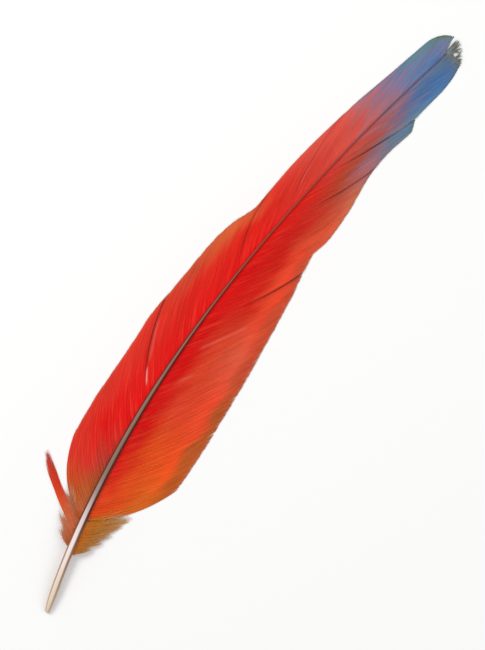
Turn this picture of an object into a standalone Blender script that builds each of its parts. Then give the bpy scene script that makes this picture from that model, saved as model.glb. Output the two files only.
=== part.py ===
"""A macaw's long tail feather lying on its underside.

The feather runs from its quill end to its tip along +Y, with +Z up and the origin under the
middle of its box. It is one solid: a tapered shaft that bends to one side and arches up off the
surface, two vanes made of locks of barbs whose outer zones lie flat, and loose locks at the base.
Places on the vanes are given by the distance along the shaft and the distance across from it.
"""

import math

import bmesh
import bpy
import numpy as np

# Driving dimensions, in metres and degrees
LENGTH = 0.400  # along the shaft, from the quill end to the tip of the vanes
SHAFT_END = 0.390
QUILL_RADIUS = 0.0022
QUILL_END_RADIUS = 0.0008
QUILL_TAPER = 0.016
TIP_RADIUS = 0.00052
TAPER_POWER = 0.75  # below 1 the shaft thins faster near the quill than near the tip
TURN_START = 45.6  # the shaft's heading falls by TURN_START u - TURN_EASE u^2
TURN_EASE = 16.3
ARCH = 0.0080  # height of the gap under the middle of the shaft

VANE_START = 0.0565
VANE_ROOT_END = 0.3875
VANE_THICKNESS = 0.0009
CREASE_SHARE = 0.45  # thickness in a crease between two locks, as a share of VANE_THICKNESS
FLAT_FROM = 0.72  # share of the half-width past which the vane lies flat
LEAST_WIDTH = 0.004  # half-width used for that where the tip is rounded off
LOCKS = 34  # on each side
LOCK_JITTER = 0.22
ROWS = 9
CREASE_REACH = 0.965  # the edge of a lock ends short of its middle, which makes the edge ragged
REACH_JITTER = 0.012
EDGE_THINNING = 0.5  # share of its thickness that a vane loses by its edge

# Half-widths: along the shaft, across from it
LEFT_EDGE = [
    (0.050, 0.0264), (0.110, 0.0266), (0.150, 0.0250), (0.172, 0.0255), (0.192, 0.0238),
    (0.226, 0.0224), (0.240, 0.0204), (0.256, 0.0161), (0.285, 0.0168), (0.330, 0.0154),
    (0.362, 0.0133), (0.400, 0.0118),
]
RIGHT_EDGE = [
    (0.050, 0.0300), (0.078, 0.0368), (0.108, 0.0410), (0.132, 0.0419), (0.165, 0.0408),
    (0.195, 0.0378), (0.229, 0.0322), (0.247, 0.0277), (0.256, 0.0262), (0.266, 0.0273),
    (0.284, 0.0255), (0.316, 0.0187), (0.328, 0.0180), (0.344, 0.0187), (0.353, 0.0146),
    (0.368, 0.0143), (0.400, 0.0128),
]
LEFT_ROUND_FROM = 0.385
RIGHT_ROUND_FROM = 0.372

# Angles between barb and shaft, at the root and at the edge: along the shaft, degrees
LEFT_ROOT_ANGLE = [(0.056, 62), (0.070, 48), (0.090, 41), (0.130, 36), (0.218, 27), (0.262, 19.5),
                   (0.388, 10)]
LEFT_EDGE_ANGLE = [(0.056, 9), (0.130, 10), (0.218, 8), (0.388, 5)]
RIGHT_ROOT_ANGLE = [(0.055, 70), (0.063, 60), (0.080, 48), (0.110, 38), (0.188, 32), (0.254, 21.5),
                    (0.287, 17), (0.388, 10)]
RIGHT_EDGE_ANGLE = [(0.055, 25), (0.110, 20), (0.188, 12), (0.287, 6), (0.388, 5)]
BEND = 1.5  # how late along the barb its angle changes

# Splits between locks: side (-1 left, 1 right), station, length of the barb that stays closed,
# gap once it is open
SPLITS = [
    (-1, 0.132, 0.022, 0.0016),
    (1, 0.184, 0.046, 0.0018),
    (-1, 0.218, 0.024, 0.0012),
    (1, 0.254, 0.044, 0.0010),
    (1, 0.290, 0.030, 0.0016),
    (-1, 0.334, 0.032, 0.0008),
]
OPENING = 0.030  # how far along the barb a split takes to open
OPENING_POWER = 1.3  # above 1 it opens slowly at first

# Loose locks below the vanes: side, station, length, width, angle at the root and at the end
LOOSE_LOCKS = [
    (-1, 0.0505, 0.0480, 0.0046, 57, 41),
    (-1, 0.0450, 0.0180, 0.0026, 62, 40),
    (-1, 0.0410, 0.0120, 0.0022, 66, 48),
    (1, 0.0520, 0.0300, 0.0030, 70, 44),
    (1, 0.0482, 0.0260, 0.0028, 70, 44),
    (1, 0.0446, 0.0220, 0.0026, 70, 45),
    (1, 0.0411, 0.0170, 0.0024, 70, 46),
    (1, 0.0377, 0.0120, 0.0021, 70, 48),
]
LOOSE_ROWS = 6
LOOSE_ROOT = 0.0006  # where a loose lock starts, inside the shaft
LOOSE_POINT = 0.92  # share of its width that a loose lock loses by its end, as a sine
LOOSE_EDGE = 0.2  # thickness at a loose lock's edges, from the crease's 0 to the middle's 1

SHAFT_SIDES = 10
SHAFT_STEPS = 44
STEP_POWER = 1.25  # above 1 the shaft's steps are shorter at the quill than at the tip
MARCH_STEP = 0.0005
VANE_WELD = 0.00002
SHAFT_WELD = 0.00001
SHARP_ANGLE = 35
SEED = 7
COLLECTION = "macaw_feather"
NODE = "feather"


def clear_scene():
    for obj in list(bpy.data.objects):
        bpy.data.objects.remove(obj, do_unlink=True)


def make_material(name, color, roughness):
    material = bpy.data.materials.new(name)
    material.use_nodes = True
    shader = material.node_tree.nodes["Principled BSDF"]
    shader.inputs["Base Color"].default_value = (*color, 1.0)
    shader.inputs["Roughness"].default_value = roughness
    shader.inputs["Metallic"].default_value = 0.0
    return material


def through(points, x):
    """The value at x of a smooth curve through the points, with no overshoot between them."""
    xs, ys = np.array(points).T
    slopes = np.diff(ys) / np.diff(xs)
    inner = [2 * a * b / (a + b) if a * b > 0 else 0.0 for a, b in zip(slopes, slopes[1:])]
    tangents = np.concatenate(([slopes[0]], inner, [slopes[-1]]))
    i = int(np.clip(np.searchsorted(xs, x) - 1, 0, len(xs) - 2))
    h = xs[i + 1] - xs[i]
    t = min(max((x - xs[i]) / h, 0.0), 1.0)
    start = (1 + 2 * t) * (1 - t) ** 2 * ys[i] + t * (1 - t) ** 2 * h * tangents[i]
    end = t * t * (3 - 2 * t) * ys[i + 1] + t * t * (t - 1) * h * tangents[i + 1]
    return start + end


def heading(along):
    """The shaft's direction in the plane, in degrees, before the whole is turned to +Y."""
    u = along / LENGTH
    return 90.0 - TURN_START * u + TURN_EASE * u * u


def plan_curve():
    """Stations along the shaft with their place and direction, tip straight ahead of the quill."""
    stations = np.linspace(0.0, LENGTH, 401)
    angles = np.radians([heading(station) for station in stations])
    step = stations[1]
    middle = (angles[1:] + angles[:-1]) / 2
    x = np.concatenate(([0.0], np.cumsum(np.cos(middle)) * step))
    y = np.concatenate(([0.0], np.cumsum(np.sin(middle)) * step))
    turn = math.pi / 2 - math.atan2(y[-1], x[-1])
    cos, sin = math.cos(turn), math.sin(turn)
    return stations, cos * x - sin * y, sin * x + cos * y, angles + turn


STATIONS, PLAN_X, PLAN_Y, PLAN_ANGLE = plan_curve()


def on_plan(along, across):
    """The place in the plane of a point this far along the shaft and across to its right."""
    x = np.interp(along, STATIONS, PLAN_X)
    y = np.interp(along, STATIONS, PLAN_Y)
    angle = np.interp(along, STATIONS, PLAN_ANGLE)
    return x + across * math.sin(angle), y - across * math.cos(angle)


def shaft_radius(along):
    """Full behind the vanes, rounded to a blunt point at the quill end, then a long taper."""
    if along < QUILL_TAPER:
        share = math.sqrt(1 - (1 - along / QUILL_TAPER) ** 2)
        return QUILL_END_RADIUS + (QUILL_RADIUS - QUILL_END_RADIUS) * share
    share = max(along - VANE_START, 0.0) / (SHAFT_END - VANE_START)
    return QUILL_RADIUS + (TIP_RADIUS - QUILL_RADIUS) * min(share, 1.0) ** TAPER_POWER


def shaft_height(along):
    """The height of the shaft's axis, whose underside arches up from the surface."""
    return shaft_radius(along) + ARCH * math.sin(math.pi * min(along / LENGTH, 1.0))


def half_width(side, along):
    """How far the vane reaches from the shaft, rounded off at the tip."""
    points = LEFT_EDGE if side < 0 else RIGHT_EDGE
    round_from = LEFT_ROUND_FROM if side < 0 else RIGHT_ROUND_FROM
    past = min(max(along - round_from, 0.0) / (LENGTH - round_from), 1.0)
    return through(points, along) * math.sqrt(1 - past * past)


def vane_height(side, along, across):
    """The height of the vane's underside: from the shaft's side down to its flat outer zone."""
    root = shaft_height(along) - VANE_THICKNESS / 2
    flat_at = FLAT_FROM * max(half_width(side, along), LEAST_WIDTH)
    share = min(across / flat_at, 1.0)
    return root * (1 - share * share * (3 - 2 * share))


def barb(side, root, closed=0.0, gap=0.0):
    """A barb's points (along, across): it leaves the shaft and bends toward it at the edge.

    Past its closed length a barb beside a split moves across by up to half the gap.
    """
    at_root = through(LEFT_ROOT_ANGLE if side < 0 else RIGHT_ROOT_ANGLE, root)
    at_edge = through(LEFT_EDGE_ANGLE if side < 0 else RIGHT_EDGE_ANGLE, root)
    along, across, length, shift = root, 0.0, 0.0, 0.0
    points = [(along, across)]
    edge = half_width(side, along)
    while across + shift < edge and along < LENGTH:
        angle = math.radians(at_root + (at_edge - at_root) * (across / edge) ** BEND)
        along += MARCH_STEP * math.cos(angle)
        across += MARCH_STEP * math.sin(angle)
        length += MARCH_STEP
        shift = gap / 2 * min(max(length - closed, 0.0) / OPENING, 1.0) ** OPENING_POWER
        points.append((along, across + shift))
        edge = half_width(side, along)
    return np.array(points)


def sampled(points, lengths):
    """The points at these lengths along a path."""
    position = np.array(lengths) / MARCH_STEP
    index = np.arange(len(points))
    return np.column_stack([np.interp(position, index, points[:, axis]) for axis in (0, 1)])


def column(side, root, reach, closed=0.0, gap=0.0, on_split=False):
    """One column of the vane's grid. On a split it has a row where the split begins."""
    points = barb(side, root, closed, gap)
    total = (len(points) - 1) * MARCH_STEP
    if not on_split:
        return sampled(points, np.linspace(0.0, total * reach, ROWS + 1))
    unsplit = (len(barb(side, root)) - 1) * MARCH_STEP
    rows = min(max(round(ROWS * closed / unsplit), 1), ROWS - 1)
    inner = np.linspace(0.0, closed, rows + 1)
    outer = np.linspace(closed, total * reach, ROWS - rows + 1)
    return sampled(points, np.concatenate((inner, outer[1:])))


def lock_borders(rng):
    """Stations of the creases between locks, with one on each split."""
    borders = np.linspace(VANE_START, VANE_ROOT_END, LOCKS + 1)
    pitch = borders[1] - borders[0]
    borders[1:-1] += rng.uniform(-LOCK_JITTER, LOCK_JITTER, LOCKS - 1) * pitch
    for _, station, *_ in SPLITS:
        borders[np.abs(borders - station).argmin()] = station
    return borders


def add_column(mesh, levels, side, points, level):
    """Adds a column's vertices, and notes how thick the vane is at each."""
    verts = []
    for row, (along, across) in enumerate(points):
        x, y = on_plan(along, side * across)
        vert = mesh.verts.new((x, y, vane_height(side, along, across)))
        vert[levels] = level * (1 - EDGE_THINNING * (row / (len(points) - 1)) ** 3)
        verts.append(vert)
    return verts


def join_columns(mesh, side, lower, upper):
    """Faces between two neighbouring columns, facing up on either side of the shaft."""
    for row in range(len(lower) - 1):
        corners = [lower[row], lower[row + 1], upper[row + 1], upper[row]]
        mesh.faces.new(corners if side > 0 else corners[::-1])


def lock_columns(side, lower, upper, middle_reach):
    """The three columns of one lock: its two creases and, between them, its raised middle."""
    splits = {station: shape for which, station, *shape in SPLITS if which == side}
    closed_low, gap_low = splits.get(lower, (0.0, 0.0))
    closed_high, gap_high = splits.get(upper, (0.0, 0.0))
    return [
        column(side, lower, CREASE_REACH, closed_low, -gap_low, lower in splits),
        column(side, (lower + upper) / 2, middle_reach, closed_low + closed_high,
               (gap_high - gap_low) / 2),
        column(side, upper, CREASE_REACH, closed_high, gap_high, upper in splits),
    ]


def vane_side(mesh, levels, side, borders, rng):
    """One vane: locks from crease to crease."""
    for lower, upper in zip(borders[:-1], borders[1:]):
        columns = lock_columns(side, lower, upper, 1.0 - REACH_JITTER * rng.random())
        verts = [add_column(mesh, levels, side, points, level)
                 for points, level in zip(columns, (0.0, 1.0, 0.0))]
        join_columns(mesh, side, verts[0], verts[1])
        join_columns(mesh, side, verts[1], verts[2])


def loose_lock(mesh, levels, side, station, length, width, root_angle, end_angle):
    """A narrow lock with a pointed end, three columns wide."""
    shares = np.linspace(0.0, 1.0, LOOSE_ROWS + 1)
    angles = np.radians(root_angle + (end_angle - root_angle) * shares)
    step = length / LOOSE_ROWS
    along = station + np.concatenate(([0.0], np.cumsum(np.cos(angles[1:])) * step))
    across = LOOSE_ROOT + np.concatenate(([0.0], np.cumsum(np.sin(angles[1:])) * step))
    half = width / 2 * np.sqrt(1 - (LOOSE_POINT * shares) ** 2)
    rows = []
    for offset, level in ((-1, LOOSE_EDGE), (0, 1.0), (1, LOOSE_EDGE)):
        points = np.column_stack([along + offset * half * np.sin(angles),
                                  across - offset * half * np.cos(angles)])
        points[0, 1] = LOOSE_ROOT
        rows.append(add_column(mesh, levels, side, points, level))
    join_columns(mesh, side, rows[0], rows[1])
    join_columns(mesh, side, rows[1], rows[2])


def make_vanes():
    """The vanes and loose locks as one open sheet, given its thickness by Solidify."""
    rng = np.random.default_rng(SEED)
    borders = lock_borders(rng)
    mesh = bmesh.new()
    levels = mesh.verts.layers.float.new("level")
    for side in (-1, 1):
        vane_side(mesh, levels, side, borders, rng)
    for side, *shape in LOOSE_LOCKS:
        loose_lock(mesh, levels, side, *shape)
    bmesh.ops.remove_doubles(mesh, verts=mesh.verts[:], dist=VANE_WELD)
    data = bpy.data.meshes.new("vanes")
    mesh.to_mesh(data)
    mesh.free()
    obj = bpy.data.objects.new("vanes", data)
    group = obj.vertex_groups.new(name="thickness")
    for index, item in enumerate(data.attributes["level"].data):
        group.add([index], item.value, "REPLACE")
    solidify = obj.modifiers.new("thickness", "SOLIDIFY")
    solidify.thickness = VANE_THICKNESS
    solidify.offset = 1.0
    solidify.vertex_group = "thickness"
    solidify.thickness_vertex_group = CREASE_SHARE
    return obj


def make_shaft():
    """The shaft: a bent, arched tube that tapers from the quill to the tip."""
    curve = bpy.data.curves.new("shaft", "CURVE")
    curve.dimensions = "3D"
    curve.bevel_depth = 1.0
    curve.bevel_resolution = (SHAFT_SIDES - 4) // 2
    curve.use_fill_caps = True
    spline = curve.splines.new("POLY")
    spline.points.add(SHAFT_STEPS)
    for index, point in enumerate(spline.points):
        share = index / SHAFT_STEPS
        along = SHAFT_END * share ** STEP_POWER
        x, y = on_plan(along, 0.0)
        point.co = (x, y, shaft_height(along), 1.0)
        point.radius = shaft_radius(along)
    return bpy.data.objects.new("shaft", curve)


def as_mesh(obj, material_index):
    """A mesh object made from a curve or a modified mesh, with its caps welded on."""
    bpy.context.scene.collection.objects.link(obj)
    graph = bpy.context.evaluated_depsgraph_get()
    data = bpy.data.meshes.new_from_object(obj.evaluated_get(graph))
    mesh = bmesh.new()
    mesh.from_mesh(data)
    bmesh.ops.remove_doubles(mesh, verts=mesh.verts[:], dist=SHAFT_WELD)
    bmesh.ops.recalc_face_normals(mesh, faces=mesh.faces[:])
    for face in mesh.faces:
        face.material_index = material_index
    mesh.to_mesh(data)
    mesh.free()
    result = bpy.data.objects.new(obj.name, data)
    bpy.data.objects.remove(obj, do_unlink=True)
    return result


def add_materials(data):
    data.materials.clear()
    data.materials.append(make_material("vane", (0.72, 0.03, 0.02), 0.55))
    data.materials.append(make_material("shaft", (0.42, 0.28, 0.22), 0.4))


def centre_on_floor(data):
    """Moves the mesh so that the origin is under the middle of its box."""
    corners = np.array([vert.co for vert in data.vertices])
    low, high = corners.min(axis=0), corners.max(axis=0)
    shift = np.array([(low[0] + high[0]) / 2, (low[1] + high[1]) / 2, low[2]])
    for vert, corner in zip(data.vertices, corners):
        vert.co = corner - shift


def make_feather():
    """The whole feather as one solid in its own collection."""
    parts = bpy.data.collections.new(COLLECTION)
    cutters = bpy.data.collections.new("cutters")
    bpy.context.scene.collection.children.link(parts)
    bpy.context.scene.collection.children.link(cutters)
    vanes = as_mesh(make_vanes(), 0)
    shaft = as_mesh(make_shaft(), 1)
    parts.objects.link(vanes)
    cutters.objects.link(shaft)
    shaft.hide_render = True
    shaft.display_type = "WIRE"
    add_materials(vanes.data)
    add_materials(shaft.data)
    union = vanes.modifiers.new("shaft", "BOOLEAN")
    union.operation = "UNION"
    union.solver = "EXACT"
    union.object = shaft
    graph = bpy.context.evaluated_depsgraph_get()
    data = bpy.data.meshes.new_from_object(vanes.evaluated_get(graph))
    bpy.data.objects.remove(vanes, do_unlink=True)
    bpy.data.objects.remove(shaft, do_unlink=True)
    feather = bpy.data.objects.new(NODE, data)
    parts.objects.link(feather)
    centre_on_floor(data)
    data.shade_smooth()
    data.set_sharp_from_angle(angle=math.radians(SHARP_ANGLE))
    return feather


clear_scene()
make_feather()
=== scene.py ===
"""The looks of a macaw's long tail feather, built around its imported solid.

Each barb of the two vanes is a thin closed strip that leaves the shaft and bends toward the tip.
Places on the feather are given as in the solid: the distance along the shaft from the quill end,
and the distance across from it. Sizes are in metres, and angles in degrees.
"""

import math

import bpy
import numpy as np
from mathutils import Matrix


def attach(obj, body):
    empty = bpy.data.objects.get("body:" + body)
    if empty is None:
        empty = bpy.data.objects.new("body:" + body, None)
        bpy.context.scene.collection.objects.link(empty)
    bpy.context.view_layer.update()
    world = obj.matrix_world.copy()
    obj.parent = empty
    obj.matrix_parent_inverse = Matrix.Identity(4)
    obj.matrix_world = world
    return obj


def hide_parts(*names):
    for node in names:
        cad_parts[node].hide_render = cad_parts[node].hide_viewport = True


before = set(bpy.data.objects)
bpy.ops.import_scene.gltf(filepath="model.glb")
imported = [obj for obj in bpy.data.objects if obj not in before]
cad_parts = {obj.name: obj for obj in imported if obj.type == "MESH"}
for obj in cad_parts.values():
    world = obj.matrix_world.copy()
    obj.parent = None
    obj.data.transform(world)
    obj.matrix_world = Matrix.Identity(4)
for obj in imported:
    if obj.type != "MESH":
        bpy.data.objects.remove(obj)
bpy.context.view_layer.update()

# The solid's driving dimensions. They repeat its source, apart from the last two places of
# LEFT_ROOT_ANGLE, which turn the left vane's last barbs outward.
LENGTH = 0.400  # along the shaft, from the quill end to the tip of the vanes
SHAFT_END = 0.390
QUILL_RADIUS = 0.0022
QUILL_END_RADIUS = 0.0008
QUILL_TAPER = 0.016
TIP_RADIUS = 0.00052
TAPER_POWER = 0.75  # below 1 the shaft thins faster near the quill than near the tip
TURN_START = 45.6  # the shaft's heading falls by TURN_START u - TURN_EASE u^2
TURN_EASE = 16.3
PLAN_STATIONS = 401
ARCH = 0.0080  # height of the gap under the middle of the shaft
VANE_START = 0.0565
VANE_ROOT_END = 0.3875
VANE_THICKNESS = 0.0009
FLAT_FROM = 0.72  # share of the half-width past which the vane lies flat
LEAST_WIDTH = 0.004  # half-width used for that where the tip is rounded off

# Half-widths: along the shaft, across from it
LEFT_EDGE = [
    (0.050, 0.0264), (0.110, 0.0266), (0.150, 0.0250), (0.172, 0.0255), (0.192, 0.0238),
    (0.226, 0.0224), (0.240, 0.0204), (0.256, 0.0161), (0.285, 0.0168), (0.330, 0.0154),
    (0.362, 0.0133), (0.400, 0.0118),
]
RIGHT_EDGE = [
    (0.050, 0.0300), (0.078, 0.0368), (0.108, 0.0410), (0.132, 0.0419), (0.165, 0.0408),
    (0.195, 0.0378), (0.229, 0.0322), (0.247, 0.0277), (0.256, 0.0262), (0.266, 0.0273),
    (0.284, 0.0255), (0.316, 0.0187), (0.328, 0.0180), (0.344, 0.0187), (0.353, 0.0146),
    (0.368, 0.0143), (0.400, 0.0128),
]
LEFT_ROUND_FROM = 0.385
RIGHT_ROUND_FROM = 0.372

# Angles between barb and shaft, at the root and at the edge: along the shaft, degrees
LEFT_ROOT_ANGLE = [(0.056, 62), (0.070, 48), (0.090, 41), (0.130, 36), (0.218, 27), (0.262, 19.5),
                   (0.376, 11), (0.388, 23)]
LEFT_EDGE_ANGLE = [(0.056, 9), (0.130, 10), (0.218, 8), (0.388, 5)]
RIGHT_ROOT_ANGLE = [(0.055, 70), (0.063, 60), (0.080, 48), (0.110, 38), (0.188, 32), (0.254, 21.5),
                    (0.287, 17), (0.388, 10)]
RIGHT_EDGE_ANGLE = [(0.055, 25), (0.110, 20), (0.188, 12), (0.287, 6), (0.388, 5)]
BEND = 1.5  # how late along the barb its angle changes

# Loose locks below the vanes: side, station, length, width, angle at the root and at the end
LOOSE_LOCKS = [
    (-1, 0.0505, 0.0480, 0.0046, 57, 41),
    (-1, 0.0450, 0.0180, 0.0026, 62, 40),
    (-1, 0.0410, 0.0120, 0.0022, 66, 48),
    (1, 0.0520, 0.0300, 0.0030, 70, 44),
    (1, 0.0482, 0.0260, 0.0028, 70, 44),
    (1, 0.0446, 0.0220, 0.0026, 70, 45),
    (1, 0.0411, 0.0170, 0.0024, 70, 46),
    (1, 0.0377, 0.0120, 0.0021, 70, 48),
]
QUILL_CAP = 0.001  # the solid's vertices this close to its lowest place are the quill's end

# Splits between locks: side, station, length that stays closed, gap once it is open (below 0 the
# upper lock lies over the lower), height of the upper lock's step, how dark its painted shadow is
SPLITS = [
    (-1, 0.132, 0.014, 0.0002, 0.0004, 0.75),
    (-1, 0.218, 0.012, -0.0001, 0.0004, 0.6),
    (-1, 0.262, 0.010, 0.0, 0.0002, 0.35),
    (1, 0.184, 0.040, 0.0002, 0.0005, 0.8),
    (1, 0.254, 0.034, 0.0, 0.0004, 0.7),
    (1, 0.290, 0.022, 0.0004, 0.0005, 0.95),
]
# Painted highlights: pale streaks along the barbs, some beside splits where the locks catch the light
PAINTED_HIGHLIGHT_STREAKS = [  # side, station, half-width, lengths where it starts and ends, strength
    (-1, 0.1322, 0.0007, 0.008, 0.019, 1.0),
    (-1, 0.1350, 0.0016, 0.020, 0.044, 0.16),
    (-1, 0.2625, 0.0007, 0.016, 0.033, 0.36),
    (1, 0.1600, 0.0012, 0.014, 0.046, 0.20),
    (1, 0.1378, 0.0010, 0.014, 0.026, 0.20),
]
LOCK_PITCH = 0.0097  # how far along the shaft a split still moves the barbs
OPENING = 0.030  # how far along the barb a split takes to open
OPENING_POWER = 1.3  # above 1 it opens slowly at first
STEP_RISE = 0.012  # length past the closed part over which a split's step and line appear
STEP_FADE = 0.0035
# The dark line is painted shadow under the upper lock, partly the barbs' darker bases showing
CREASE_AT = 0.0008  # how far below the split its dark line lies
CREASE_FADE = 0.0011
PAINTED_HIGHLIGHT_RISE = 0.003

# Barbs
BARBS = 640  # on each side
BARB_RINGS = {-1: 23, 1: 27}
BARB_JITTER = 0.25  # share of the distance from one barb to the next
REACH = 0.994  # share of the vane's half-width that a barb spans
NOTCH_DEPTH = 0.010
NOTCH_BARBS = 9  # from one shallow notch in the edge to the next
REACH_JITTER = 0.006
CLUMP_CHANCE = 0.16  # that a barb starts a new clump
CLUMP_FROM = 0.80  # share of a barb's length from which its clump draws together
CLUMP_PULL = 0.10
WAVES = [(0.6, 7, 5), (0.4, 20, 4)]  # share, barbs from one wave to the next, waves along a barb
FINE_WAVE = (2, 6)  # the last two of those
WAVE_HEIGHT = 0.00018
FINE_HEIGHT = 0.00003
WAVE_FROM = 0.12  # share of a barb's length over which its waves grow
CALM_FROM = 0.6  # and from where they calm down to half
# The barbs' colour is lighter where these waves raise them: painted light on the relief
TONE_WEIGHTS = (0.7, 0.3)  # of the waves and of the fine ones
TONE_JITTER = 0.3
MARCH_STEP = 0.0005
MARCH_LIMIT = 260
NARROWEST = 0.00001  # half-width that keeps a share of the vane's width defined
SHARE_WIDTH = 0.002  # half-width used for the colours' share across where the tip is rounded off
OVERLAP = 0.72  # half-width of a barb, as a share of its distance from the next
LEAST_HALF_WIDTH = 0.00011
BARB_LIFT = 0.00026  # height of a barb's middle above the solid's underside
RIDGE = 0.00011
RIDGE_AT = -0.15  # share of its half-width by which a barb's ridge lies toward the root
BELLY = 0.00013
CLEARANCE = 0.00002
TUCK = 0.00007  # how far a barb's tip-side edge dips under the next barb
EDGE_RISE = 0.3  # of its root-side edge, as a share of that
FULL_RELIEF_WIDTH = 0.00022  # strips of a smaller half-width are flatter too
LEAST_RELIEF = 0.3
EDGE_TAPER = 0.04  # share of a barb's length over which its end narrows
BLUNT = 0.06  # square of what is left of its width there
WORN_FROM = 0.3912  # the right vane's barbs hold together up to here
WORN_WANDER = 0.0020
WORN_BARBS = 6  # from one notch in that worn edge to the next
WORN_JITTER = 0.0006
FRAY = (-0.005, 0.001)  # from where to where, past WORN_FROM, barbs turn thin and grey
FRAY_THINNING = 0.25
LEAST_LENGTH = 1e-6
SMALLEST = 1e-9  # keeps a direction's division defined
SPACING_BARBS = 4  # neighbours on each side over which distances are evened out
SEED = 11

# The bake map: each strip's corners across its stripe, and its rings up it
MAP_CORNERS = (0.06, 0.5, 0.94, 0.5)
MAP_MARGIN = 0.01
MAP_SPAN = 0.47
MAP_BELLY = 3  # the corner that is the belly
MAP_BELLY_DROP = 0.003


def through(points, x):
    """The values at x of a smooth curve through the points, with no overshoot between them."""
    xs, ys = np.array(points, dtype=float).T
    slopes = np.diff(ys) / np.diff(xs)
    inner = [2 * a * b / (a + b) if a * b > 0 else 0.0 for a, b in zip(slopes, slopes[1:])]
    tangents = np.array([slopes[0], *inner, slopes[-1]])
    i = np.clip(np.searchsorted(xs, x) - 1, 0, len(xs) - 2)
    h = xs[i + 1] - xs[i]
    t = np.clip((x - xs[i]) / h, 0.0, 1.0)
    start = (1 + 2 * t) * (1 - t) ** 2 * ys[i] + t * (1 - t) ** 2 * h * tangents[i]
    end = t * t * (3 - 2 * t) * ys[i + 1] + t * t * (t - 1) * h * tangents[i + 1]
    return start + end


def smooth(x, low=0.0, high=1.0):
    """0 below low and 1 above high, with an eased rise between them."""
    t = np.clip((x - low) / (high - low), 0.0, 1.0)
    return t * t * (3 - 2 * t)


def plan_curve():
    """Stations along the shaft with their place and direction, tip straight ahead of the quill."""
    stations = np.linspace(0.0, LENGTH, PLAN_STATIONS)
    u = stations / LENGTH
    angles = np.radians(90.0 - TURN_START * u + TURN_EASE * u * u)
    middle = (angles[1:] + angles[:-1]) / 2
    x = np.concatenate(([0.0], np.cumsum(np.cos(middle)) * stations[1]))
    y = np.concatenate(([0.0], np.cumsum(np.sin(middle)) * stations[1]))
    turn = math.pi / 2 - math.atan2(y[-1], x[-1])
    cos, sin = math.cos(turn), math.sin(turn)
    return stations, cos * x - sin * y, sin * x + cos * y, angles + turn


def quill_end():
    """The middle of the quill's end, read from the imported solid."""
    places = np.array([vert.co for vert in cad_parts["feather"].data.vertices])
    places = np.unique(places.round(6), axis=0)
    return places[places[:, 1] < places[:, 1].min() + QUILL_CAP, :2].mean(axis=0)


STATIONS, PLAN_X, PLAN_Y, PLAN_ANGLE = plan_curve()
QUILL_AT = quill_end()


def on_plan(along, across):
    """Places in the frame of points this far along the shaft and across to its right."""
    over = np.maximum(along - LENGTH, 0.0)
    angle = np.interp(along, STATIONS, PLAN_ANGLE)
    x = np.interp(along, STATIONS, PLAN_X) + over * np.cos(angle) + across * np.sin(angle)
    y = np.interp(along, STATIONS, PLAN_Y) + over * np.sin(angle) - across * np.cos(angle)
    return QUILL_AT[0] + x, QUILL_AT[1] + y


def shaft_radius(along):
    """Full behind the vanes, rounded to a blunt point at the quill end, then a long taper."""
    share = np.clip((along - VANE_START) / (SHAFT_END - VANE_START), 0.0, 1.0)
    tapered = QUILL_RADIUS + (TIP_RADIUS - QUILL_RADIUS) * share ** TAPER_POWER
    rounding = np.sqrt(1 - np.clip(1 - along / QUILL_TAPER, 0.0, 1.0) ** 2)
    return np.where(along < QUILL_TAPER,
                    QUILL_END_RADIUS + (QUILL_RADIUS - QUILL_END_RADIUS) * rounding, tapered)


def shaft_height(along):
    """The height of the shaft's axis, whose underside arches up from the surface."""
    return shaft_radius(along) + ARCH * np.sin(np.pi * np.clip(along / LENGTH, 0.0, 1.0))


def half_width(side, along):
    """How far the vane reaches from the shaft, rounded off at the tip."""
    round_from = LEFT_ROUND_FROM if side < 0 else RIGHT_ROUND_FROM
    past = np.clip((along - round_from) / (LENGTH - round_from), 0.0, 1.0)
    return through(LEFT_EDGE if side < 0 else RIGHT_EDGE, along) * np.sqrt(1 - past * past)


def vane_height(side, along, across):
    """The height of the vane's underside: from the shaft's side down to its flat outer zone."""
    flat_at = FLAT_FROM * np.maximum(half_width(side, along), LEAST_WIDTH)
    return (shaft_height(along) - VANE_THICKNESS / 2) * (1 - smooth(across / flat_at))


def field(rng, rows, columns, row_cells, column_cells):
    """A smooth random field from -1 to 1 that changes over this many cells each way."""
    grid = rng.uniform(-1.0, 1.0, (row_cells + 2, column_cells + 2))
    r = np.linspace(0, row_cells, rows)[:, None]
    c = np.linspace(0, column_cells, columns)[None, :]
    i, j = r.astype(int), c.astype(int)
    a, b = smooth(r - i), smooth(c - j)
    near = grid[i, j] * (1 - b) + grid[i, j + 1] * b
    far = grid[i + 1, j] * (1 - b) + grid[i + 1, j + 1] * b
    return near * (1 - a) + far * a


def split_shift(side, roots, length):
    """How far the barbs beside splits have moved across at this length."""
    total = np.zeros_like(roots)
    for which, station, closed, gap, _, _ in SPLITS:
        if which == side:
            nearness = np.clip(1 - np.abs(roots - station) / LOCK_PITCH, 0.0, 1.0)
            opened = np.clip((length - closed) / OPENING, 0.0, 1.0) ** OPENING_POWER
            total += np.where(roots > station, -1, 1) * nearness * gap / 2 * opened
    return total


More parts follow.
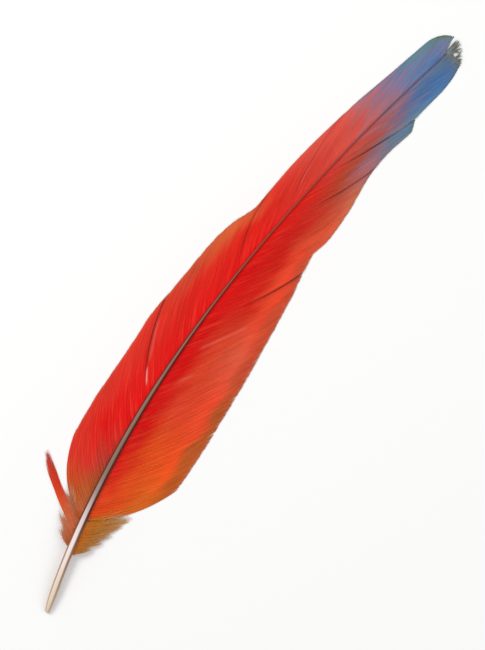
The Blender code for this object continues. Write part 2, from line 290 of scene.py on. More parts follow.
def barb_paths(side, roots, reach, stop, rings):
    """Marches every barb of a vane out to the edge. Returns along, across and lengths."""
    at_root = through(LEFT_ROOT_ANGLE if side < 0 else RIGHT_ROOT_ANGLE, roots)
    at_edge = through(LEFT_EDGE_ANGLE if side < 0 else RIGHT_EDGE_ANGLE, roots)
    along, across = roots.copy(), np.zeros_like(roots)
    length, shift = np.zeros_like(roots), np.zeros_like(roots)
    track = [(along, across)]
    for _ in range(MARCH_LIMIT):
        edge = np.maximum(half_width(side, along), NARROWEST)
        going = (across + shift < edge * reach) & (along < stop)
        bend = np.clip(across / edge, 0.0, 1.0) ** BEND
        angle = np.radians(at_root + (at_edge - at_root) * bend)
        along = along + going * MARCH_STEP * np.cos(angle)
        across = across + going * MARCH_STEP * np.sin(angle)
        length = length + going * MARCH_STEP
        shift = split_shift(side, roots, length)
        track.append((along, across + shift))
    track = np.array(track)
    steps = np.arange(len(track))
    shares = np.linspace(0.0, 1.0, rings)
    spots = shares[None, :] * (length / MARCH_STEP)[:, None]
    paths = [[np.interp(spots[i], steps, track[:, axis, i]) for i in range(len(roots))]
             for axis in (0, 1)]
    return np.array(paths[0]), np.array(paths[1]), shares[None, :] * length[:, None]


def add_values(data, label, values, domain="POINT"):
    """A named value at each vertex of a mesh, or on each face."""
    values = values.astype(np.float32)
    data.attributes.new(label, "FLOAT", domain).data.foreach_set("value", values)


def mesh_piece(name, verts, faces, fields):
    """A smooth mesh with named values at its vertices. Where a name has fewer values than the
    mesh has vertices, each value serves several vertices in a row."""
    data = bpy.data.meshes.new(name)
    data.from_pydata(verts.reshape(-1, 3).tolist(), [], faces)
    for label, values in fields.items():
        add_values(data, label, np.repeat(values, len(data.vertices) // values.size))
    data.shade_smooth()
    return bpy.data.objects.new(name, data)


def strip_mesh(name, rings, side, fields):
    """A mesh of closed strips. rings holds, for each strip and ring, its root-side edge, ridge,
    tip-side edge and belly."""
    count, steps, corners, _ = rings.shape
    index = np.arange(count * steps * corners).reshape(count, steps, corners)
    near, far = index[:, :-1], index[:, 1:]
    quads = np.stack([near, np.roll(near, -1, 2), np.roll(far, -1, 2), far], axis=-1)
    sides = quads.reshape(-1, 4)
    starts, ends = index[:, 0, ::-1], index[:, -1]
    faces = np.concatenate([sides, starts, ends])
    if side > 0:
        faces = faces[:, ::-1]
    piece = mesh_piece(name, rings, faces.tolist(), fields)
    below = np.zeros((count, steps - 1, corners))
    below[:, :, corners // 2:] = 1.0
    under = np.concatenate([below.reshape(-1), np.zeros(2 * count)])
    add_values(piece.data, "under", under, "FACE")
    add_bake_map(piece.data, faces, under, count, steps, corners)
    piece.data.validate()
    return piece


def add_bake_map(data, faces, under, count, steps, corners):
    """One upright stripe of the map for each strip: its top in the upper half, belly below."""
    strip, ring, corner = np.unravel_index(faces, (count, steps, corners))
    u = (strip + np.array(MAP_CORNERS)[corner]) / count
    v = MAP_MARGIN + MAP_SPAN * ring / (steps - 1) + 0.5 * (1 - under[:, None])
    v = v + np.where(corner == MAP_BELLY, -MAP_BELLY_DROP, 0.0)
    layer = data.uv_layers.new(name="OFBake")
    layer.data.foreach_set("uv", np.stack([u, v], axis=-1).reshape(-1).astype(np.float32))


def headings(x, y):
    """The direction of each strip at each ring, not yet of length one, and its length."""
    dx, dy = np.gradient(x, axis=1), np.gradient(y, axis=1)
    return dx, dy, np.maximum(np.hypot(dx, dy), SMALLEST)


def strip_rings(side, x, y, z, half, ridge, belly, tuck):
    """Rings around strips whose middles run through x, y, z. side is one value or one a strip."""
    dx, dy, size = headings(x, y)
    tipward = np.reshape(side, (-1, 1)) / size
    nx, ny = -dy * tipward, dx * tipward
    corners = [(-1.0, EDGE_RISE * tuck), (RIDGE_AT, ridge), (1.0, -tuck), (0.0, -belly)]
    return np.stack([np.stack([x + nx * half * across, y + ny * half * across, z + up], axis=-1)
                     for across, up in corners], axis=2)


def spacing(x, y):
    """The distance from each barb to the next, square to the barb, evened out."""
    dx, dy, size = headings(x, y)
    gap = np.abs(dx[:-1] * np.diff(y, axis=0) - dy[:-1] * np.diff(x, axis=0)) / size[:-1]
    gap = np.concatenate([gap, gap[-1:]])
    padded = np.pad(gap, ((SPACING_BARBS, SPACING_BARBS), (0, 0)), mode="edge")
    near = [padded[k:k + len(gap)] for k in range(2 * SPACING_BARBS + 1)]
    return np.median(np.stack(near), axis=0)


def gather(along, across, clump):
    """Draws the ends of the barbs in each clump together."""
    shares = np.linspace(0.0, 1.0, along.shape[1])[None, :]
    pull = CLUMP_PULL * smooth(shares, CLUMP_FROM, 1.0)
    for number in np.unique(clump):
        members = np.flatnonzero(clump == number)
        middle = members[len(members) // 2]
        for values in (along, across):
            target = values[middle] - values[middle, 0] + values[members, :1]
            blend = (target + values[middle]) / 2
            values[members] += (blend - values[members]) * pull


def split_relief(side, roots, length):
    """The step up at each split of a vane, and its dark line: painted shadow, partly darker bases."""
    step, crease_shadow_and_dark = np.zeros_like(length), np.zeros_like(length)
    for which, station, closed, _, height, dark in SPLITS:
        if which == side:
            past = (roots - station)[:, None]
            begun = smooth(length, closed * 0.5, closed + STEP_RISE)
            step += height * begun * np.where(past > 0, np.exp(-past / STEP_FADE), 0.0)
            line = np.exp(-np.abs(past + CREASE_AT) / CREASE_FADE)
            crease_shadow_and_dark = np.maximum(crease_shadow_and_dark, dark * begun * line)
    return step, crease_shadow_and_dark


def painted_highlight_amount(side, roots, length):
    """Painted highlight: how pale the vane is painted in a few short streaks along its barbs."""
    pale = np.zeros_like(length)
    for which, station, width, start, end, strength in PAINTED_HIGHLIGHT_STREAKS:
        if which == side:
            streak = strength * np.exp(-((roots - station) / width) ** 2)[:, None]
            streak = streak * smooth(length, start, start + PAINTED_HIGHLIGHT_RISE)
            streak = streak * smooth(-length, -end, PAINTED_HIGHLIGHT_RISE - end)
            pale = np.maximum(pale, streak)
    return pale


def barb_reach(side, rng):
    """The share of the vane's width that each barb spans, and where along the shaft it is cut."""
    notch = field(rng, BARBS, 1, BARBS // NOTCH_BARBS, 1)[:, 0]
    reach = REACH - NOTCH_DEPTH * np.clip(notch, 0, 1) - REACH_JITTER * rng.random(BARBS)
    stop = np.full(BARBS, LENGTH)
    if side > 0:
        stop = WORN_FROM + WORN_WANDER * field(rng, BARBS, 1, BARBS // WORN_BARBS, 1)[:, 0]
        stop += WORN_JITTER * rng.uniform(-1, 1, BARBS)
    return reach, stop


def make_vane(side, rng):
    """One vane: barbs laid like shingles, in groups that rise and fall a little."""
    rings = BARB_RINGS[side]
    pitch = (VANE_ROOT_END - VANE_START) / BARBS
    jitter = rng.uniform(-BARB_JITTER, BARB_JITTER, BARBS)
    roots = VANE_START + pitch * (np.arange(BARBS) + 0.5 + jitter)
    reach, stop = barb_reach(side, rng)
    along, across, length = barb_paths(side, roots, reach, stop, rings)
    shares = length / np.maximum(length[:, -1:], LEAST_LENGTH)
    clump = np.cumsum(rng.random(BARBS) < CLUMP_CHANCE)
    gather(along, across, clump)
    fray = np.zeros_like(along)
    if side > 0:
        fray = smooth(along, WORN_FROM + FRAY[0], WORN_FROM + FRAY[1])
    x, y = on_plan(along, side * across)
    half = OVERLAP * spacing(x, y) * (1 - FRAY_THINNING * fray)
    half = np.maximum(half, LEAST_HALF_WIDTH)
    half *= np.sqrt(np.clip((1 - shares) / EDGE_TAPER, BLUNT, 1.0))
    wave = sum(share * field(rng, BARBS, rings, BARBS // barbs, cells) for share, barbs, cells in WAVES)
    fine = field(rng, BARBS, rings, BARBS // FINE_WAVE[0], FINE_WAVE[1])
    step, crease_shadow_and_dark = split_relief(side, roots, length)
    inner = smooth(shares, 0.0, WAVE_FROM) * (1 - 0.5 * smooth(shares, CALM_FROM, 1.0))
    z = vane_height(side, along, across) + BARB_LIFT + step
    z += inner * (WAVE_HEIGHT * wave + FINE_HEIGHT * fine)
    z = np.maximum(z, BELLY + CLEARANCE)
    slim = np.clip(half / FULL_RELIEF_WIDTH, LEAST_RELIEF, 1.0)
    made = strip_rings(side, x, y, z, half, RIDGE * slim, BELLY * slim, TUCK * slim)
    edge = np.maximum(half_width(side, along), SHARE_WIDTH)
    # Lighter where the waves raise the barbs: painted light on the relief, with random tone besides
    tone = wave * TONE_WEIGHTS[0] + fine * TONE_WEIGHTS[1]
    tone = tone + rng.uniform(-TONE_JITTER, TONE_JITTER, BARBS)[:, None]
    fields = {
        "along": along / LENGTH,
        "share": np.clip(across / edge, 0.0, 1.0),
        "station": roots,
        "length": length,
        "tone": np.clip(tone, -1, 1),
        "crease_shadow_and_dark": crease_shadow_and_dark,
        "pale": painted_highlight_amount(side, roots, length),
        "fray": fray,
    }
    return strip_mesh("left_vane" if side < 0 else "right_vane", made, side, fields)


# Materials


def linear(red, green, blue):
    """A colour given as 0 to 255 on screen, as the shader wants it."""
    screen = np.array([red, green, blue]) / 255
    low, high = screen / 12.92, ((screen + 0.055) / 1.055) ** 2.4
    return (*np.where(screen <= 0.04045, low, high).tolist(), 1.0)


RED = linear(236, 8, 6)
DEEP_RED = linear(226, 4, 4)
WARM_RED = linear(232, 32, 18)
DUSTY_RED = linear(226, 52, 38)
ORANGE_RED = linear(240, 74, 42)
ORANGE = linear(246, 88, 22)
AMBER = linear(196, 92, 26)
TAN = linear(206, 116, 78)
RUST = linear(184, 88, 34)
GOLD_BROWN = linear(204, 124, 30)
OLIVE_BROWN = linear(154, 120, 76)
PINK_RED = linear(220, 82, 68)
BRICK_RED = linear(210, 78, 46)
BROWN_RED = linear(188, 62, 44)
SALMON = linear(230, 96, 66)
TANGERINE = linear(222, 104, 54)
BRICK = linear(196, 92, 74)
MAUVE = linear(174, 112, 122)
VIOLET = linear(124, 118, 158)
SLATE_BLUE = linear(104, 122, 162)
STEEL = linear(106, 124, 144)
BLUE = linear(74, 116, 170)
DUSK_BLUE = linear(92, 112, 134)
TEAL = linear(88, 136, 160)
GREY_GREEN = linear(108, 130, 104)
WORN_GREY = linear(118, 120, 112)
# Painted sheen, warm on the red and cool toward the blue tip
WARM_PAINTED_SHEEN = linear(244, 128, 84)
COOL_PAINTED_SHEEN = linear(146, 150, 178)
# Painted shadow at the splits, partly the barbs' darker bases
CREASE_SHADOW_AND_DARK = linear(66, 20, 18)
# Painted highlight
PAINTED_HIGHLIGHT_COLOR = linear(255, 190, 176)
DULL_RED = linear(196, 120, 92)
DULL_BLUE = linear(112, 120, 138)
OLIVE_GREEN = linear(104, 124, 98)
UNDER_HORN = linear(206, 180, 156)
# The barbs' dark streaks are painted shade; the horn's are its grain
PAINTED_SHADE_STREAK = (0.62, 0.50, 0.50, 1.0)  # these two darken what they multiply
HORN_STREAK = (0.6, 0.5, 0.45, 1.0)

# Noises: how many cells a metre they have across and along the barbs
BROAD = (90.0, 45.0)
PATCHES = (150.0, 110.0)
STREAKS = (620.0, 50.0)
HAIRS = (2600.0, 160.0)
RIBS = (4000.0, 5200.0)
PATCH_PLACE, STREAK_PLACE, HAIR_PLACE = 7.0, 3.0, 5.0  # set one noise apart from another
FINE_DETAIL = 3.0
HORN_GRAIN = (9.0, 60.0)  # cells over half the shaft's width and over the feather's length
HORN_FIBRES = (30.0, 40.0)
HORN_DETAIL = 4.0


class Painter:
    """Builds one material's node tree."""

    def __init__(self, name):
        self.material = bpy.data.materials.new(name)
        self.material.use_nodes = True
        self.tree = self.material.node_tree
        self.shader = self.tree.nodes["Principled BSDF"]

    def node(self, kind, inputs, **settings):
        node = self.tree.nodes.new(kind)
        for key, value in settings.items():
            setattr(node, key, value)
        for key, value in inputs.items():
            self.put(node.inputs[key], value)
        return node

    def put(self, socket, value):
        if isinstance(value, bpy.types.NodeSocket):
            self.tree.links.new(value, socket)
        else:
            socket.default_value = value

    def attribute(self, name):
        return self.node("ShaderNodeAttribute", {}, attribute_name=name).outputs["Fac"]

    def math(self, operation, *values):
        return self.node("ShaderNodeMath", dict(enumerate(values)), operation=operation).outputs[0]

    def ease(self, value, low, high, start=0.0, end=1.0):
        """start while the value is up to low, end from high on, and an eased change between."""
        inputs = {"Value": value, "From Min": low, "From Max": high, "To Min": start, "To Max": end}
        return self.node("ShaderNodeMapRange", inputs, interpolation_type="SMOOTHSTEP").outputs[0]

    def mix(self, factor, first, second, blend="MIX"):
        node = self.node("ShaderNodeMix", {}, data_type="RGBA", blend_type=blend)
        self.put(node.inputs[0], factor)
        self.put(node.inputs[6], first)
        self.put(node.inputs[7], second)
        return node.outputs[2]

    def ramp(self, factor, stops):
        node = self.node("ShaderNodeValToRGB", {"Fac": factor})
        elements = node.color_ramp.elements
        while len(elements) < len(stops):
            elements.new(0.5)
        for element, (position, color) in zip(elements, stops):
            element.position = position
            element.color = color
        return node.outputs["Color"]

    def vector(self, x, y, z=0.0):
        return self.node("ShaderNodeCombineXYZ", {"X": x, "Y": y, "Z": z}).outputs[0]

    def noise(self, first, second, cells, place=0.0, detail=2.0):
        """Noise over two values, with its number of cells along each."""
        x = self.math("MULTIPLY", first, cells[0])
        y = self.math("MULTIPLY", second, cells[1])
        inputs = {"Vector": self.vector(x, y, place), "Scale": 1.0, "Detail": detail}
        return self.node("ShaderNodeTexNoise", inputs).outputs["Fac"]

    def shade(self, color, level):
        return self.mix(1.0, color, self.vector(level, level, level), "MULTIPLY")

    def darken(self, factor, color, by):
        return self.mix(factor, color, self.mix(1.0, color, by, "MULTIPLY"))

    def bump(self, height, strength, distance):
        inputs = {"Height": height, "Strength": strength, "Distance": distance}
        node = self.node("ShaderNodeBump", inputs)
        self.put(self.shader.inputs["Normal"], node.outputs[0])

    def finish(self, color, roughness, specular):
        self.put(self.shader.inputs["Base Color"], color)
        self.put(self.shader.inputs["Roughness"], roughness)
        self.shader.inputs["Specular IOR Level"].default_value = specular
        return self.material


def barb_material(name, bands, rim_amount, dusk):
    """Colour that changes along the feather and across the vane, with streaks along the barbs."""
    p = Painter(name)
    along, share = p.attribute("along"), p.attribute("share")
    station, length = p.attribute("station"), p.attribute("length")

    # Bands across the vane, whose borders wander more toward the tip
    wander = p.math("SUBTRACT", p.noise(station, length, BROAD), 0.5)
    u = p.math("ADD", along, p.math("MULTIPLY", wander, p.ease(along, 0.70, 0.90, 0.03, 0.16)))
    v = p.math("ADD", share, p.math("MULTIPLY", wander, 0.35))
    color = p.ramp(u, bands[0][2])
    for low, high, stops in bands[1:]:
        color = p.mix(p.ease(v, low, high), color, p.ramp(u, stops))
    color = p.mix(p.ease(along, 0.94, 0.975, 0.0, dusk), color, DUSK_BLUE)
    rim = p.ramp(u, [(0.78, TAN), (0.88, GREY_GREEN)])
    color = p.mix(p.ease(share, 0.93, 1.0, 0.0, rim_amount), color, rim)
    patch = p.ease(p.noise(station, length, PATCHES, PATCH_PLACE), 0.52, 0.66, 0.0, 0.55)
    color = p.mix(p.math("MULTIPLY", patch, p.ease(along, 0.86, 0.93)), color, TEAL)

    # Streaks of painted sheen and painted shade, and single barbs
    streak = p.noise(station, length, STREAKS, STREAK_PLACE, FINE_DETAIL)
    hair = p.noise(station, length, HAIRS, HAIR_PLACE)
    # Painted sheen on the streak noise's peaks and painted shade in its troughs
    painted_sheen = p.ramp(along, [(0.80, WARM_PAINTED_SHEEN), (0.88, COOL_PAINTED_SHEEN)])
    color = p.mix(p.ease(streak, 0.50, 0.74, 0.0, 0.28), color, p.mix(0.55, color, painted_sheen))
    color = p.darken(p.ease(streak, 0.50, 0.26, 0.0, 0.30), color, PAINTED_SHADE_STREAK)
    # Brightness from tone: painted light on the raised barbs, with random tone besides
    level = p.math("ADD", 1.0, p.math("MULTIPLY", p.attribute("tone"), 0.08))
    level = p.math("ADD", level, p.math("MULTIPLY", p.math("SUBTRACT", hair, 0.5), 0.22))
    color = p.shade(color, level)

    # Painted shadow at splits, painted highlight streaks, worn ends and the duller underside
    color = p.mix(p.attribute("crease_shadow_and_dark"), color, CREASE_SHADOW_AND_DARK)
    color = p.mix(p.math("MULTIPLY", p.attribute("pale"), 0.7), color, PAINTED_HIGHLIGHT_COLOR)
    color = p.mix(p.math("MULTIPLY", p.attribute("fray"), 0.8), color, WORN_GREY)
    dull = p.ramp(along, [(0.76, DULL_RED), (0.88, DULL_BLUE)])
    color = p.mix(p.math("MULTIPLY", p.attribute("under"), 0.45), color, dull)
    p.bump(p.noise(station, length, RIBS), 0.2, 0.00003)
    return p.finish(color, p.ease(hair, 0.3, 0.7, 0.46, 0.64), 0.16)


def left_material():
    """Brown-red near the quill, red, then pink, violet and blue, green-grey at the tip."""
    inner = [(0.14, TAN), (0.18, RUST), (0.225, BROWN_RED), (0.29, RED), (0.62, RED),
             (0.70, DUSTY_RED), (0.79, PINK_RED), (0.85, MAUVE), (0.92, SLATE_BLUE),
             (0.955, BLUE), (0.985, VIOLET), (1.0, GREY_GREEN)]
    middle = [(0.14, OLIVE_BROWN), (0.165, AMBER), (0.215, DUSTY_RED), (0.27, RED), (0.40, WARM_RED),
              (0.62, WARM_RED), (0.70, DUSTY_RED), (0.80, PINK_RED), (0.855, MAUVE),
              (0.91, VIOLET), (0.96, SLATE_BLUE), (0.985, VIOLET), (1.0, GREY_GREEN)]
    outer = [(0.14, OLIVE_BROWN), (0.165, AMBER), (0.22, DUSTY_RED), (0.44, DUSTY_RED),
             (0.52, BRICK_RED), (0.60, TANGERINE), (0.67, DUSTY_RED), (0.75, PINK_RED),
             (0.80, PINK_RED), (0.85, MAUVE), (0.89, VIOLET), (0.92, STEEL), (0.95, TEAL),
             (0.975, GREY_GREEN), (1.0, GREY_GREEN)]
    bands = [(0.0, 0.0, inner), (0.10, 0.52, middle), (0.50, 0.90, outer)]
    return barb_material("left_barbs", bands, 0.45, 0.2)


def right_material():
    """Orange near the quill and along the edge, red by the shaft, then mauve and blue."""
    inner = [(0.14, ORANGE), (0.22, WARM_RED), (0.30, DEEP_RED), (0.60, RED), (0.70, WARM_RED),
             (0.79, PINK_RED), (0.85, MAUVE), (0.93, SLATE_BLUE), (0.96, STEEL), (1.0, STEEL)]
    middle = [(0.14, ORANGE), (0.28, ORANGE), (0.34, ORANGE_RED), (0.46, ORANGE_RED),
              (0.52, WARM_RED), (0.62, WARM_RED), (0.68, DUSTY_RED), (0.75, BRICK_RED),
              (0.80, BRICK), (0.85, MAUVE), (0.89, VIOLET), (0.92, BLUE), (1.0, BLUE)]
    outer = [(0.14, GOLD_BROWN), (0.25, ORANGE), (0.37, ORANGE_RED), (0.45, SALMON),
             (0.52, ORANGE_RED), (0.62, ORANGE_RED), (0.69, BRICK_RED), (0.74, BRICK),
             (0.785, MAUVE), (0.835, STEEL), (0.89, SLATE_BLUE), (0.92, BLUE), (1.0, BLUE)]
    edge = [(0.14, GOLD_BROWN), (0.24, AMBER), (0.37, RUST), (0.45, BRICK_RED), (0.62, BRICK_RED),
            (0.68, SALMON), (0.74, TAN), (0.785, MAUVE), (0.82, STEEL), (0.88, TEAL),
            (0.92, BLUE), (1.0, BLUE)]
    bands = [(0.0, 0.0, inner), (0.10, 0.46, middle), (0.42, 0.68, outer), (0.72, 0.92, edge)]
    return barb_material("right_barbs", bands, 0.55, 0.65)


# The shaft

SHAFT_SIDES = 24
SHAFT_RINGS = 220
RING_POWER = 1.25  # above 1 the rings are closer together at the quill than at the tip
SHAFT_NARROWING = 0.46  # share of the solid's width that barbs hide toward the tip
NARROWING = (0.08, 0.27)  # from where to where it narrows
SHAFT_POINT = 0.008  # length over which its end comes to a point
BLUNT_POINT = 0.02  # share of that by which the point is cut short
VANED = (-0.010, 0.012)  # from where to where, past VANE_START, its section changes
GROOVE_DEPTH = 0.30  # share of its radius
GROOVE_WIDTH = 0.02
SHOULDER = 0.10  # how far its sides drop, as a share of its radius
SHOULDER_POWER = 8


def make_shaft():
    """The quill and shaft: flattened above, grooved below, tapering to a hair."""
    along = SHAFT_END * np.linspace(0.0, 1.0, SHAFT_RINGS) ** RING_POWER
    around = np.arange(SHAFT_SIDES) / SHAFT_SIDES * 2 * np.pi
    radius = shaft_radius(along)
    vaned = smooth(along, VANE_START + VANED[0], VANE_START + VANED[1])
    across, up = np.sin(around)[None, :], np.cos(around)[None, :]
    groove = GROOVE_DEPTH * np.exp(-(np.sin(around / 2 + np.pi / 2) ** 2) / GROOVE_WIDTH)
    narrow = 1 - SHAFT_NARROWING * smooth(along, *NARROWING)
    left_over = (SHAFT_END + SHAFT_POINT * BLUNT_POINT - along) / SHAFT_POINT
    point = np.sqrt(np.clip(left_over, 0.0, 1.0))
    radius = radius * point
    wide = (radius * narrow)[:, None] * across
    tall = radius[:, None] * up * (1 - vaned[:, None] * groove[None, :] * (up < 0))
    shoulder = vaned[:, None] * SHOULDER * radius[:, None] * np.abs(across) ** SHOULDER_POWER
    x0, y0 = on_plan(along, 0.0 * along)
    angle = np.interp(along, STATIONS, PLAN_ANGLE)
    x = x0[:, None] + wide * np.sin(angle)[:, None]
    y = y0[:, None] - wide * np.cos(angle)[:, None]
    z = shaft_height(along)[:, None] + tall - shoulder
    index = np.arange(SHAFT_RINGS * SHAFT_SIDES).reshape(SHAFT_RINGS, SHAFT_SIDES)
    near, far = index[:-1], index[1:]
    quads = np.stack([near, far, np.roll(far, -1, 1), np.roll(near, -1, 1)], axis=-1)
    faces = quads.reshape(-1, 4).tolist() + [index[0].tolist(), index[-1][::-1].tolist()]
    fields = {
        "along": along / LENGTH,
        "across": np.tile(np.sin(around), SHAFT_RINGS),
        "top": np.tile(np.cos(around), SHAFT_RINGS),
    }
    return mesh_piece("shaft", np.stack([x, y, z], axis=-1), faces, fields)


def shaft_material():
    """Pale at the quill, horn-brown between dark side lines, part painted shade, then a dark hairline.
    """
    p = Painter("horn")
    along, across, top = p.attribute("along"), p.attribute("across"), p.attribute("top")
    middle = p.ramp(along, [(0.0, linear(226, 205, 180)), (0.11, linear(248, 234, 228)),
                            (0.145, linear(226, 204, 202)), (0.18, linear(172, 144, 140)),
                            (0.215, linear(140, 114, 98)), (0.30, linear(142, 110, 90)),
                            (0.42, linear(150, 100, 80)), (0.60, linear(164, 90, 62)),
                            (0.75, linear(186, 82, 56)), (0.86, linear(142, 96, 98)),
                            (0.95, linear(102, 106, 142))])
    lines = p.ramp(along, [(0.0, linear(196, 170, 140)), (0.09, linear(150, 110, 96)),
                           (0.15, linear(72, 42, 38)), (0.40, linear(62, 30, 26)),
                           (0.70, linear(158, 58, 42)), (0.86, linear(118, 80, 84)),
                           (0.95, linear(86, 94, 132))])
    # Dark side lines: partly the horn's own, partly painted shade on its rounded sides; the shift
    # widens the right one as painted shadow
    off = p.math("ABSOLUTE", p.math("ADD", across, 0.10))
    reach = p.ease(along, 0.30, 0.75, 0.50, 0.10)
    side_line_and_shade = p.ease(p.math("SUBTRACT", off, reach), -0.12, 0.16)
    color = p.mix(side_line_and_shade, middle, lines)
    grain = p.noise(across, along, HORN_GRAIN, detail=HORN_DETAIL)
    color = p.darken(p.ease(grain, 0.35, 0.7, 0.0, 0.35), color, HORN_STREAK)
    color = p.mix(p.ease(top, -0.2, -0.7, 0.0, 0.7), color, UNDER_HORN)
    p.bump(p.noise(across, along, HORN_FIBRES), 0.3, 0.00005)
    gloss = p.ease(grain, 0.3, 0.7, 0.28, 0.40)
    roughness = p.math("ADD", gloss, p.ease(along, 0.25, 0.55, 0.0, 0.45))
    return p.finish(color, roughness, 0.25)


# The frayed tip

FRINGE_CLUMPS = [  # start, middle and end of its curve (along, across; right is positive), hairs
    ((0.3880, -0.0001), (0.3945, -0.0011), (0.4001, -0.0017), 10),
    ((0.3875, 0.0006), (0.3945, 0.0000), (0.4001, -0.0003), 10),
    ((0.3865, 0.0012), (0.3945, 0.0010), (0.4000, 0.0012), 9),
    ((0.3860, 0.0016), (0.3930, 0.0016), (0.3986, 0.0034), 8),
    ((0.3900, 0.0006), (0.3958, 0.0024), (0.3956, 0.0060), 5),
    ((0.3872, 0.0032), (0.3912, 0.0048), (0.3958, 0.0066), 10),
    ((0.3866, 0.0050), (0.3906, 0.0066), (0.3946, 0.0082), 12),
    ((0.3862, 0.0058), (0.3900, 0.0073), (0.3938, 0.0088), 7),
    ((0.3858, 0.0066), (0.3892, 0.0080), (0.3930, 0.0094), 12),
    ((0.3852, 0.0073), (0.3884, 0.0086), (0.3918, 0.0099), 7),
    ((0.3846, 0.0080), (0.3876, 0.0092), (0.3908, 0.0104), 10),
    ((0.3895, 0.0056), (0.3945, 0.0052), (0.3984, 0.0040), 3),
    ((0.3890, 0.0016), (0.3940, 0.0004), (0.3990, -0.0014), 3),
]
FRINGE_HALF = 0.00017
FRINGE_RINGS = 12
FRINGE_SPREAD = (0.0008, 0.0005)  # half the width of a clump at its start and at its end
FRINGE_SHORTEST = 0.86  # share of its curve that a hair follows
FRINGE_RISE = 0.003  # before and after WORN_FROM, over which the hairs rise out of the vane
FRINGE_LIFT = 0.0004  # and how far, with as much again at random
FRINGE_LOWEST = 0.0001
FRINGE_TAPER = 0.4  # share of its length over which a hair narrows
FRINGE_PAST = 0.05  # and how far past its end that goes on
FRINGE_LEAST = 0.1
FINE_RELIEF = 0.00008  # height of the ridge and depth of the belly on hairs and loose barbs


def make_fringe(rng):
    """Worn barbs at the tip that no longer hold together, in crossing clumps."""
    shares = np.linspace(0.0, 1.0, FRINGE_RINGS)
    along, across = [], []
    for *curve, hairs in FRINGE_CLUMPS:
        knots = np.array(curve)
        for _ in range(hairs):
            t = shares * rng.uniform(FRINGE_SHORTEST, 1.0)
            weights = np.stack([(1 - t) ** 2, 2 * t * (1 - t), t ** 2])
            spread = FRINGE_SPREAD[0] + (FRINGE_SPREAD[1] - FRINGE_SPREAD[0]) * t
            along.append(knots[:, 0] @ weights)
            across.append(knots[:, 1] @ weights + rng.uniform(-1, 1) * spread)
    along, across = np.array(along), np.array(across)
    x, y = on_plan(along, across)
    rise = smooth(along, WORN_FROM - FRINGE_RISE, WORN_FROM + FRINGE_RISE)
    lift = FRINGE_LIFT + FRINGE_LIFT * rng.random(len(x))[:, None]
    z = np.maximum(vane_height(1, along, np.abs(across)) + rise * lift, FRINGE_LOWEST)
    taper = np.clip((1 + FRINGE_PAST - shares) / FRINGE_TAPER, FRINGE_LEAST, 1.0)
    half = FRINGE_HALF * taper[None, :] * np.ones_like(along)
    rings = strip_rings(1, x, y, z, half, FINE_RELIEF, FINE_RELIEF, 0.0)
    fields = {"share": shares * np.ones_like(along), "tone": rng.uniform(-1, 1, len(x))}
    return strip_mesh("frayed_tip", rings, 1, fields)


def fringe_material():
    """Grey-brown with a little olive, darker toward the ends."""
    p = Painter("worn_barbs")
    tone = p.attribute("tone")
    stops = [(0.0, STEEL), (0.35, linear(120, 128, 134)), (0.6, linear(120, 121, 117)),
             (1.0, linear(112, 109, 104))]
    color = p.ramp(p.attribute("share"), stops)
    color = p.mix(p.ease(tone, 0.3, 0.9, 0.0, 0.5), color, OLIVE_GREEN)
    color = p.shade(color, p.math("ADD", 1.0, p.math("MULTIPLY", tone, 0.25)))
    return p.finish(color, 0.6, 0.2)


# Loose locks and down

LOOSE_BARBS = 34  # in each lock
LOOSE_RINGS = 22
LOOSE_SPREAD = {True: 1.15, False: 1.75}  # wider than the solid's lock: the long one, the others
LOOSE_POINT = {True: 0.92, False: 0.70}  # how far a lock draws together at its end
LOOSE_CUT = {True: 0.06, False: 0.45}  # how much shorter than the lock its barbs may be
LOOSE_SIDE_CUT = 0.22  # and those at its sides besides
LOOSE_JITTER = 0.06
LOOSE_WAVE = 0.22  # how far across its lock a barb waves, as a share of the lock's half-width
LOOSE_WAVES = (3, 4)  # barbs from one wave to the next, waves along a barb
LOOSE_WAVE_FROM = 0.2  # share of a barb's length before which it doesn't wave
LOOSE_ROOT = 0.0006  # where a loose barb starts, inside the shaft
LOOSE_HALF = 0.00014
LOOSE_TAPER = 0.25  # share of a barb's length over which its end narrows
LOOSE_BLUNT = 0.05  # square of what is left of its width there
LOOSE_LIFT = (0.00035, 0.00016)  # least height above the vane's underside, and what varies
FILLERS = [  # side, count, first and last station, shortest and longest barb, angles at its ends
    (-1, 46, 0.0385, 0.0580, 0.0080, 0.0190, 66, 44),
    (1, 90, 0.0350, 0.0575, 0.0090, 0.0270, 66, 44),
    (-1, 56, 0.0505, 0.0585, 0.0110, 0.0205, 62, 34),
]
FILLER_SIZE = (0.6, 1.1)  # least and greatest share of those lengths
FILLER_TURN = (7, 8)  # how far the angles at their ends vary
FILLER_WAVE = 0.10  # turn to either side, in radians
FILLER_WAVES = (2, 5)
DOWNY_EVERY = 3  # of the short locks' barbs, one in so many is downy
BARBULES = 9  # on each side of a downy barb
BARBULE_FROM, BARBULE_TO = 0.12, 0.97
BARBULE_LENGTH = 0.0013
BARBULE_SIZE = (0.6, 1.2)  # least and greatest share of that length
BARBULE_ROOT_SIZE = 0.8  # and what is left of it at the barb's root
BARBULE_HALF = 0.00004
BARBULE_TURN = (28, 62)  # least and greatest angle from the barb
BARBULE_CURL = 0.5
BARBULE_DROP = 0.3
HAIR_TAPER = 0.8  # size of a hair's second step, as a share of its first
HAIR_SIZE = 7  # corners of one hair
HAIR_QUADS = [(0, 1, 4, 3), (1, 2, 5, 4), (2, 0, 3, 5)]
HAIR_TRIANGLES = [(3, 4, 6), (4, 5, 6), (5, 3, 6), (2, 1, 0)]


